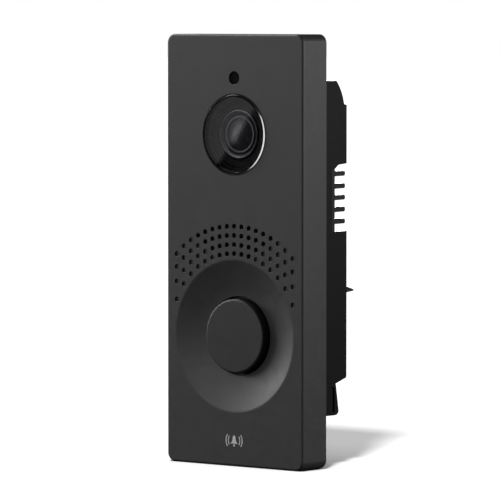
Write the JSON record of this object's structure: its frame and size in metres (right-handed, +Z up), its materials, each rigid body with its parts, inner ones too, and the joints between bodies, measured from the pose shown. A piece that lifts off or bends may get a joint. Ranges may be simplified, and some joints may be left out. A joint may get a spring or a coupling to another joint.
{
  "type": "video doorbell",
  "caption": "Slim wall-mounted video doorbell with a round camera window, arcs of speaker holes and one round call button in a dish, on a finned rear housing.",
  "frame": {"origin": "on the wall plane, at the middle of the front cover's width and height", "axes": "+Z up, -Y out of the wall towards the visitor, +Y into the wall, +X to the right as the visitor sees it"},
  "size_m": [0.071, 0.0387, 0.174],
  "materials": {
    "graphite_cover": "satin dark grey, fine moulded texture",
    "button_black": "satin black-grey",
    "black_plastic": "matte black moulded",
    "black_aluminium": "black anodised die casting",
    "polished_trim": "polished",
    "steel": "plated",
    "clear_glass": "clear, polished",
    "smoked_window": "infrared-clear black acrylic",
    "lens_glass": "coated lens glass",
    "rubber": "matte",
    "circuit_board": "solder mask",
    "chip_black": "moulded epoxy",
    "ivory_plastic": "moulded",
    "green_plastic": "moulded",
    "blue_plastic": "moulded",
    "paper_cone": "pressed paper",
    "magnet_metal": "plated",
    "thermal_pad": "soft silicone",
    "ferrite": "ferrite core"
  },
  "bodies": {
    "housing": {"front_cover": "graphite_cover", "rear_housing": "black_plastic", "cable_entry_hood": "black_plastic", "terminal_cover": "black_plastic", "base_plate": "black_plastic", "button_housing": "black_plastic", "camera_hood": "black_plastic", "lens_barrel": "black_plastic", "lens_holder": "black_plastic", "speaker_frame": "black_plastic", "speaker_mesh": "black_plastic", "heatsink": "black_aluminium", "window_bezel": "polished_trim", "wall_clip_left": "steel", "wall_clip_right": "steel", "button_spring": "steel", "microphone": "steel", "network_jack": "steel", "cover_screw": "steel", "housing_screw_1": "steel", "housing_screw_2": "steel", "housing_screw_3": "steel", "housing_screw_4": "steel", "terminal_cover_screw_1": "steel", "terminal_cover_screw_2": "steel", "camera_window": "clear_glass", "sensor_window": "smoked_window", "front_lens": "lens_glass", "rear_lens": "lens_glass", "cover_seal": "rubber", "speaker_gasket": "rubber", "microphone_boot": "rubber", "cable_grommet": "rubber", "main_board": "circuit_board", "camera_board": "circuit_board", "sensor_board": "circuit_board", "button_board": "circuit_board", "processor": "chip_black", "image_sensor": "chip_black", "light_sensor": "chip_black", "call_switch": "chip_black", "tamper_switch": "chip_black", "reset_switch": "chip_black", "capacitor_1": "chip_black", "capacitor_2": "chip_black", "camera_connector": "ivory_plastic", "button_connector": "ivory_plastic", "terminal_block": "green_plastic", "door_relay": "blue_plastic", "speaker_magnet": "magnet_metal", "thermal_pad": "thermal_pad", "power_transformer": "ferrite"},
    "call_button": {"call_button": "button_black"},
    "switch_plunger": {"switch_plunger": "ivory_plastic"},
    "tamper_plunger": {"tamper_plunger": "ivory_plastic"},
    "reset_button": {"reset_button": "button_black"},
    "infrared_filter": {"ir_cut_filter": "lens_glass"},
    "speaker_cone": {"speaker_cone": "paper_cone"}
  },
  "joints": [
    {"name": "call_button_press", "type": "slide", "parent": "housing", "child": "call_button", "axis": [0, 1, 0], "range_m": [0, 0.001], "stiffness_N_per_m": 600, "springref_m": -0.003, "deforming": ["button_spring"]},
    {"name": "switch_plunger_press", "type": "slide", "parent": "housing", "child": "switch_plunger", "axis": [0, 1, 0], "range_m": [0, 0.001]},
    {"name": "tamper_press", "type": "slide", "parent": "housing", "child": "tamper_plunger", "axis": [0, -1, 0], "range_m": [0, 0.0018], "stiffness_N_per_m": 300, "springref_m": -0.002},
    {"name": "reset_press", "type": "slide", "parent": "housing", "child": "reset_button", "axis": [0, 1, 0], "range_m": [0, 0.0004], "stiffness_N_per_m": 400, "springref_m": -0.001},
    {"name": "filter_shift", "type": "slide", "parent": "housing", "child": "infrared_filter", "axis": [1, 0, 0], "range_m": [0, 0.006]},
    {"name": "cone_travel", "type": "slide", "parent": "housing", "child": "speaker_cone", "axis": [0, 1, 0], "range_m": [-0.0004, 0.0004], "stiffness_N_per_m": 1500}
  ],
  "couplings": [
    {"joint": "switch_plunger_press", "follows": "call_button_press", "ratio": 1}
  ]
}
